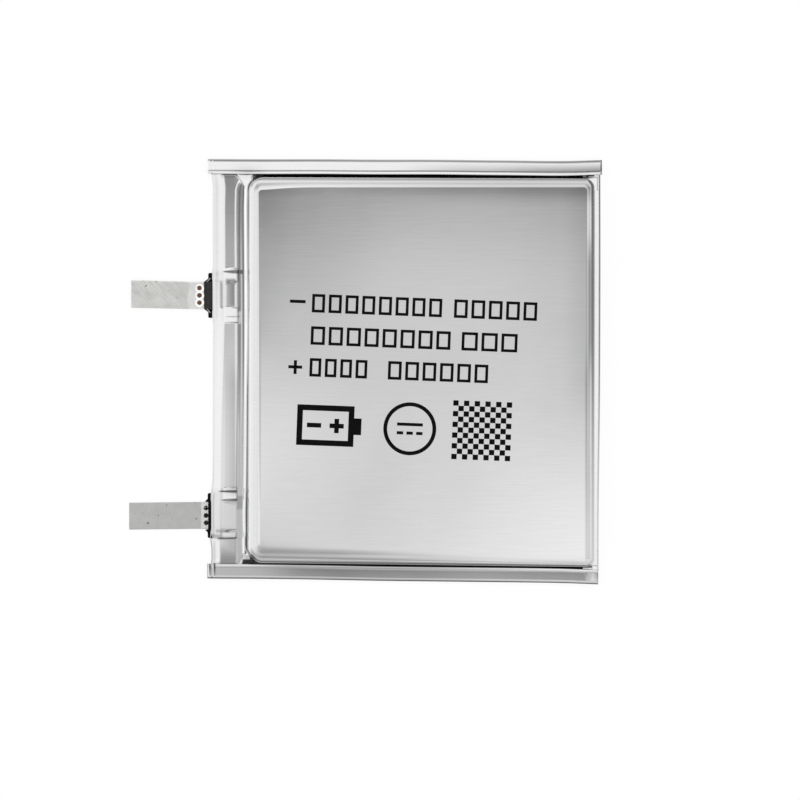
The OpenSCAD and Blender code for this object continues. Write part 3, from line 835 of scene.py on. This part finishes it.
def build_negative_tab():
    root_low, root_high = mm_box("negative_strip_root")
    tip_low, _ = mm_box("negative_strip")
    bend_x, centre_y = bend_line("negative")
    welds, weld_r = weld_places("negative_welds")
    z_low, z_high = root_low[2], root_high[2]
    length = root_high[0] - tip_low[0]

    def relief(x, y):
        tuck = 0.06 * smooth(root_high[0] - 0.28, root_high[0] - 0.2, x)  # its end goes under the sealant
        z = weld_relief(x, y, welds, weld_r, 0.014, 0.07, 0.03, 0.05, squash=1.05)
        return z + 0.004 * np.sin(2.1 * x) * np.sin(1.3 * y + x) - tuck

    fine = [(bend_x - 0.5, bend_x + 0.4), (welds[0][0] - 0.6, root_high[0])]
    xs = spaced(tip_low[0] - 0.14, root_high[0], 0.22, fine, 0.045)
    sections = strip_sections(xs, (centre_y - 0.04, 0.20 / length), (1.49, 0.02 / length), z_low, z_high, relief)
    strip = sweep("negative_tab_strip", sections, "nickel_strip", sharp=60)
    paint_faces(strip, "nickel_strip_bright", lambda x, y, normal: x > bend_x + 0.12 + 0.12 * math.sin(2.2 * y))
    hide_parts("negative_strip_root", "negative_strip")
    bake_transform(strip)
    build_weld_spots("negative_weld_spots", welds, weld_r * 1.2, z_high - 0.012, "brown_weld",
                     "negative_welds")
    build_weld_halos(welds, weld_r, z_high)


def build_weld_halos(welds, weld_r, z):
    """A bright rim of clean metal round each weld."""
    points, faces = [], []
    around = 40
    for wx, wy in welds:
        start = len(points)
        for a in (2 * math.pi * n / around for n in range(around)):
            outer = weld_r + 0.21 + 0.02 * math.sin(3 * a + wy)
            for r, lift in ((weld_r - 0.04, -0.03), (weld_r + 0.04, 0.012), (weld_r + 0.12, 0.02), (outer, -0.01)):
                points.append((wx + r * math.cos(a), wy + r * math.sin(a), z + lift))
        index = rings(around, 4, start)
        faces += quads(np.vstack([index, index[:1]]))
    halos = add_object("negative_weld_halos", points, faces, "weld_halo", sharp=70, solid=True)
    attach(halos, "cell")


def build_weld_spots(name, places, radius, z, material, node):
    """Rough little buttons of melted metal, one to each weld."""
    points, faces = [], []
    around, circles = 28, 6
    a = 2 * np.pi * np.arange(around) / around
    for k, (x, y) in enumerate(places):
        start = len(points)
        points.append((x, y, z + 0.006))
        wobble = 1 + 0.07 * np.sin(3 * a + 1.7 * k) + 0.05 * np.sin(5 * a + 0.6 * k + 1)
        for r in range(1, circles + 1):
            dx, dy = radius * r / circles * wobble * np.array([np.cos(a), np.sin(a)])
            rough = 0.007 * np.sin(9 * x + 23 * dx + k) * np.cos(21 * dy + 2 * k) if r < circles else -0.03 + 0 * a
            points += zip(x + dx, y + dy, z + rough)
        index = rings(circles, around, start + 1)
        faces += [[start, *pair] for pair in zip(index[0].tolist(), index[0, 1:].tolist())]
        faces += quads(index.T) + [index[-1, -2::-1].tolist()]
    spots = add_object(name, points, faces, material, sharp=70)
    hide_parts(node)
    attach(spots, "cell")


def build_positive_tab():
    root_low, root_high = mm_box("positive_strip_root")
    tip_low, _ = mm_box("positive_strip")
    bend_x, centre_y = bend_line("positive")
    length = root_high[0] - tip_low[0]

    def relief(x, y):
        return 0.003 * np.sin(1.7 * x + 0.8 * y)

    xs = spaced(tip_low[0] - 0.38, root_high[0], 0.22, [(bend_x - 0.5, bend_x + 0.4)], 0.045)
    sections = strip_sections(xs, (centre_y + 0.03, -0.09 / length), (1.47, 0), root_low[2], root_high[2], relief)
    strip = sweep("positive_tab_strip", sections, "nickel_strip_dull", sharp=60)
    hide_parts("positive_strip_root", "positive_strip")
    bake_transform(strip)
    build_positive_lead(centre_y)


def build_positive_lead(centre_y):
    """The aluminium lead lies on its strip, crimped by the welding jaws and pitted at each weld."""
    low, high = mm_box("positive_lead")
    welds, weld_r = weld_places("positive_welds")
    welds = [(x - 0.12, y) for x, y in welds]
    pit_r = weld_r * 1.05

    def relief(x, y):
        z = weld_relief(x, y, welds, pit_r, 0.02, 0.05, 0.07, 0.06)
        crimp = 0.014 * np.sin(17 * x + 3 * np.sin(4 * y)) * np.sin(11 * y + 2 * np.cos(9 * x))
        return (z + crimp) * smooth(TERRACE_X - 0.2, TERRACE_X - 0.35, x)

    xs = spaced(low[0] - 0.2, high[0], 0.4, [(low[0] - 0.2, TERRACE_X + 0.1)], 0.03)
    sections = strip_sections(xs, (centre_y + 0.03, 0), (LEAD_HALF, 0), low[2], high[2] - 0.005, relief, across=91)
    lead = sweep("positive_lead_end", sections, "aluminium_lead", sharp=60)
    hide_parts("positive_lead")
    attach(lead, "cell")
    build_weld_spots("positive_weld_pits", welds, pit_r * 0.98, high[2] - 0.062, "dark_weld",
                     "positive_welds")


# Each tab's sealant: how far its shoulders stand back from its front, how far the front stands back over the lead,
# how far it reaches out past the CAD's, and how far in front of the terrace's edge it ends, all in millimetres
SEALANTS = {
    "negative": {"shoulder": 0.44, "inset": 0.0, "out": 0.20, "cover": 0.1},
    "positive": {"shoulder": 0.36, "inset": 0.42, "out": 0.18, "cover": 0.24},
}


def build_sealants():
    """Black melted film round each lead, higher over the lead, with cut-back corners."""
    for tab, form in SEALANTS.items():
        low, high = mm_box(tab + "_sealant_front")
        back_low, _ = mm_box(tab + "_sealant_back")
        middle = (low[1] + high[1]) / 2
        half = (high[1] - low[1]) / 2
        front = low[0] - form["out"]
        stop = TERRACE_X - form["cover"]
        x1, z0 = TERRACE_X + 0.35, back_low[2] + 0.01
        back_off = [(0, 0), (1.42, 0), (1.9, form["shoulder"]), (half - 0.12, form["shoulder"]),
                    (half, form["shoulder"] + 0.1)]
        sections = []
        for y in np.linspace(-half, half, 99):
            x0 = front + curve(abs(y), back_off) + form["inset"] * smooth(1.56, 1.48, abs(y))
            top = FILM_T + 0.12 + 0.135 * smooth(1.95, LEAD_HALF, abs(y))
            outline = [
                (x1, z0), (x0 + 0.03, z0), (x0, z0 + 0.03), (x0, top - 0.05), (x0 + 0.03, top - 0.015),
                (x0 + 0.09, top), (x0 + 0.15, top - 0.012), (x0 + 0.2, top - 0.035), (x0 + 0.26, top - 0.03),
                (x0 + 0.33, top), (stop - 0.06, top - 0.01), (stop - 0.01, 0.28), (x1, 0.26),
            ]
            sections.append([(x, middle + y, z) for x, z in outline])
        sealant = sweep(tab + "_sealant_film", sections, "black_sealant", sharp=45)

        def on_slant(x, y, normal):
            """The faces of the cut-back corners beside the lead: on the negative sealant they get a painted
            highlight.
            """
            aside = abs(y - middle)
            return (1.45 < aside < 1.9 and normal.z > 0.5
                    and front + 0.22 < x - (aside - 1.42) * 0.85 < front + 0.34)

        def over_lead(x, y, normal):
            return (abs(y - middle) < LEAD_HALF and front + 0.1 < x < stop - 0.25
                    and not on_slant(x, y, normal))

        if tab == "negative":
            # painted highlight: lighter faces on the negative sealant's cut-back corners
            paint_faces(sealant, "black_sealant_painted_glint", on_slant)
            # painted sheen: the negative sealant's top over the lead is a lighter grey
            paint_faces(sealant, "black_sealant_painted_sheen", over_lead)
        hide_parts(tab + "_sealant_front", tab + "_sealant_back")
        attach(sealant, "cell")


# ---- print

INK_T = 0.006
PRINT_TILT = -math.radians(2.2)


class Print:
    """Flat black shapes laid on the face; every shape is a closed outline in the print's own frame."""

    def __init__(self):
        self.points, self.faces = [], []

    def outline(self, loop):
        start = len(self.points)
        count = len(loop)
        c, s = math.cos(PRINT_TILT), math.sin(PRINT_TILT)
        spots = [(x * c - y * s, x * s + y * c) for x, y in loop]
        for lift in (-INK_T, INK_T):
            self.points += [(x, y, float(face_z(x, y)) + lift) for x, y in spots]
        self.faces.append(tuple(start + count + i for i in range(count)))
        self.faces.append(tuple(start + i for i in reversed(range(count))))
        for i in range(count):
            j = (i + 1) % count
            self.faces.append((start + i, start + j, start + count + j, start + count + i))

    def bar(self, x0, x1, y0, y1):
        self.outline([(x0, y0), (x1, y0), (x1, y1), (x0, y1)])

    def ring(self, x, y, r, width, steps=64):
        angles = [math.radians(360 * i / steps) for i in range(steps + 1)]
        for a, b in zip(angles, angles[1:]):
            self.outline([(x + q * math.cos(t), y + q * math.sin(t))
                          for q, t in ((r, a), (r + width, a), (r + width, b), (r, b))])

    def frame(self, x0, x1, y0, y1, width):
        self.bar(x0, x1, y0, y0 + width)
        self.bar(x0, x1, y1 - width, y1)
        self.bar(x0, x0 + width, y0 + width, y1 - width)
        self.bar(x1 - width, x1, y0 + width, y1 - width)

    def box_row(self, x0, x1, y, height, count, stroke):
        """A row of empty boxes, standing where a word of print would be."""
        pitch = (x1 - x0 + 0.4) / count
        for k in range(count):
            x = x0 + k * pitch
            self.frame(x, x + pitch - 0.4, y - height / 2, y + height / 2, stroke)


def build_print():
    ink = Print()
    cap, stroke, sign = 2.0, 0.31, 0.34  # height of the boxes, width of their lines and of the polarity signs
    for y, words in ((6.95, ((-10.45, 3.65, 8), (4.95, 13.95, 5))), (3.45, ((-10.45, 4.7, 8), (5.9, 11.95, 3))),
                     (0.0, ((-10.45, -4.2, 4), (-1.95, 8.9, 6)))):
        for x0, x1, count in words:
            ink.box_row(x0, x1, y, cap, count, stroke)
    y, ring_x, chequer_x = -6.25, 0.65, 5.25
    cells, pitch = 11, 0.58
    for bar in (
        # polarity signs in line with the tabs
        (-12.85, -11.15, 6.9, 6.9 + sign), (-12.75, -11.25, -0.2, -0.2 + sign),
        (-12 - sign / 2, -12 + sign / 2, -0.8, 0.7),
        # the terminal and the signs of a plain cell pictogram
        (-5.4, -4.6, y - 0.9, y + 0.9), (-10.5, -8.95, y - 0.25, y + 0.25), (-8.05, -6.5, y - 0.25, y + 0.25),
        (-7.53, -7.03, y + 0.25, y + 0.78), (-7.53, -7.03, y - 0.78, y - 0.25),
        # direct current: a line over three dashes
        (ring_x - 1.4, ring_x + 1.4, y + 0.3, y + 0.64),
        *((ring_x + dash, ring_x + dash + 0.7, y - 0.64, y - 0.3) for dash in (-1.4, -0.35, 0.7)),
        # a plain chequered square
        *((chequer_x + i * pitch, chequer_x + (i + 1) * pitch, y - 3.1 + j * pitch, y - 3.1 + (j + 1) * pitch)
          for i in range(cells) for j in range(i % 2, cells, 2)),
    ):
        ink.bar(*bar)
    ink.frame(-11.6, -5.4, y - 2.2, y + 2.2, 0.62)
    ink.ring(ring_x, y, 2.45, 0.42)
    printed = add_object("face_print", ink.points, ink.faces, "printing_ink", sharp=30)
    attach(printed, "cell")


# ---- studio

FLOOR_HALF = 3000
FLOOR_DROP = 0.02  # below the back face, so that the two don't flicker
VIEW_CENTRE = (-0.65, -3.15)
VIEW_WIDTH = 86.9565  # what the picture shows across
LENS, SENSOR = 120, 36

# Box of cards round the cell: their positions in millimetres
CARD_LEFT, CARD_RIGHT, CARD_FRONT, CARD_BACK, CARD_TOP, CARD_BOTTOM = -190, 112, -125, 190, 150, -120

# Soft patches on the overhead card: centre and radii in millimetres, and how much each one dims
OVERHEAD_PATCHES = [
    ((-34, 24), (34, 34), 0.26), ((44, 14), (30, 40), 0.16), ((-34, -10), (30, 20), -0.12),
    ((-12, -30), (44, 22), 0.14), ((-36, -38), (24, 18), 0.22), ((4, -4), (28, 24), 0.06),
    ((31, -33), (36, 28), -0.12), ((12, 31), (52, 15), 0.06),
]


def build_floor():
    """A pale ground that glows a little, so that the cell's shadow on it stays soft."""
    material, tree, shader = material_nodes("floor_white")
    set_inputs(shader, {"Base Color": blend_colours(noise(tree, 0.02, detail=2.0), 0.12, 0.13), "Roughness": 0.9,
                        "Specular IOR Level": 0.0, "Emission Color": (1, 1, 1, 1), "Emission Strength": 0.86})
    corners = [(x * FLOOR_HALF, y * FLOOR_HALF, 0) for x, y in ((-1, -1), (1, -1), (1, 1), (-1, 1))]
    floor = add_object("floor", corners, [(0, 1, 2, 3)], material, sharp=None)
    floor.location.z = -FLOOR_DROP * MM
    floor.visible_glossy = False


def axes(tree, output):
    """The x, y and z of a place or direction."""
    where = add_node(tree, "TexCoord").outputs[output]
    parts = add_node(tree, "SeparateXYZ", {"Vector": where})
    return [parts.outputs[axis] for axis in "XYZ"]


def glow_card(name, corners, level):
    """A flat light seen only in reflections; level(x, y, z) gives its brightness over the shared frame."""
    material = bpy.data.materials.new(name)
    material.use_nodes = True
    tree = material.node_tree
    tree.nodes.clear()
    glow = add_node(tree, "Emission", {"Strength": level(*axes(tree, "Object"))})
    add_node(tree, "OutputMaterial", {"Surface": glow.outputs["Emission"]})
    material.cycles.emission_sampling = "NONE"
    card = add_object(name, corners, [(0, 1, 2, 3)], material, sharp=None)
    card.visible_camera = card.visible_diffuse = card.visible_transmission = card.visible_shadow = False


def blob(x, y, centre, radius, amount):
    """A round soft patch: amount at the centre, nothing beyond the radius."""
    terms = []
    for value, c, r in ((x, centre[0], radius[0]), (y, centre[1], radius[1])):
        shifted = times(plus(value, -c * MM), 1 / (r * MM))
        terms.append(times(shifted, shifted))
    return ramp(plus(*terms), 0.0, 1.0, amount, 0.0)


def overhead_level(x, y, z):
    """Bright, but dim behind the camera, with a grey strip toward the front."""
    sides = times(ramp(x, -0.075, -0.050), ramp(x, 0.045, 0.070, 1.0, 0.0))
    dim = plus(ramp(y, -0.055, 0.005, 0.0, 0.30), ramp(y, 0.014, 0.046, 0.0, 0.42))
    dim = times(dim, ramp(y, 0.056, 0.080, 1.0, 0.0), sides)
    dim = plus(dim, *(blob(x, y, *patch) for patch in OVERHEAD_PATCHES))
    strip = times(ramp(y, -0.095, -0.075), ramp(y, -0.048, -0.036, 1.0, 0.0))
    return plus(times(plus(dim, times(strip, 0.5)), -1.0), 1.09)


def right_level(x, y, z):
    return ramp(y, -0.030, 0.014, 0.75, 0.24)


def front_level(x, y, z):
    """Brightest to the left of the middle, fading toward the floor and the far left."""
    return times(ramp(x, -0.026, 0.012, 0.80, 0.42), ramp(z, -0.02, 0.09, 0.35, 1.0),
                 ramp(x, -0.125, -0.060, 0.6, 1.0))


def build_cards():
    x, y, z = (CARD_LEFT, CARD_RIGHT), (CARD_FRONT, CARD_BACK), (CARD_BOTTOM, CARD_TOP)
    around = ((0, 0), (0, 1), (1, 1), (1, 0))
    glow_card("overhead_card", [(x[i], y[j], CARD_TOP) for i, j in around], overhead_level)
    glow_card("right_card", [(CARD_RIGHT, y[j], z[k]) for k, j in around], right_level)
    glow_card("front_card", [(x[i], CARD_FRONT, z[k]) for k, i in around], front_level)


def build_world():
    """White all round; reflections see less from the right, the front, the far left corner and low on the left."""
    world = bpy.data.worlds.new("studio")
    bpy.context.scene.world = world
    world.use_nodes = True
    tree = world.node_tree
    x, y, z = axes(tree, "Generated")
    horizon = times(ramp(z, 0.08, 0.32, 0.72, 0.0), ramp(z, -0.5, -0.2), ramp(x, -0.6, -0.25))
    left = times(ramp(x, -0.6, -0.25, 0.28, 0.0), ramp(z, 0.3, 0.7, 1.0, 0.0))
    far_corner = times(ramp(y, 0.30, 0.55, 0.0, 0.52), ramp(x, -0.55, -0.35, 1.0, 0.0))
    low_left = times(ramp(z, 0.06, 0.16, 0.4, 0.0), ramp(z, -0.3, -0.1), ramp(x, -0.90, -0.75, 1.0, 0.0))
    seen = plus(times(plus(horizon, far_corner, low_left), -1.0), plus(left, 1.0))
    glossy = add_node(tree, "LightPath").outputs["Is Glossy Ray"]
    chosen = add_node(tree, "Mix", {"Factor": glossy, "A": 1.16, "B": seen})
    set_inputs(tree.nodes["Background"], {"Color": (1, 1, 1, 1), "Strength": chosen.outputs["Result"]})
    world.cycles.sampling_method = "NONE"


def build_camera():
    """Straight above, with the tabs to the left."""
    data = bpy.data.cameras.new("camera")
    data.lens = LENS
    data.sensor_width = SENSOR
    camera = bpy.data.objects.new("camera", data)
    height = VIEW_WIDTH * LENS / SENSOR
    camera.location = (VIEW_CENTRE[0] * MM, VIEW_CENTRE[1] * MM, (height + FACE_Z / 2) * MM)
    data.clip_start, data.clip_end = 0.01, 10
    bpy.context.scene.collection.objects.link(camera)
    bpy.context.scene.camera = camera


paint_cad_nodes()
build_cup()
build_flange()
build_back()
build_hem("hem_upper_side", 1, (TERRACE_X - 0.62, FOLD_X + 0.35), upper_hem_outer, upper_hem_settings,
          upper_hem_shadow)
build_hem("hem_lower_side", -1, (TERRACE_X - 0.68, FOLD_X - 0.05), lower_hem_outer, lower_hem_settings,
          lower_hem_shadow)
build_fold()
build_sealants()
build_negative_tab()
build_positive_tab()
build_print()
build_floor()
build_cards()
build_world()
build_camera()
bpy.context.scene.view_settings.view_transform = "Standard"
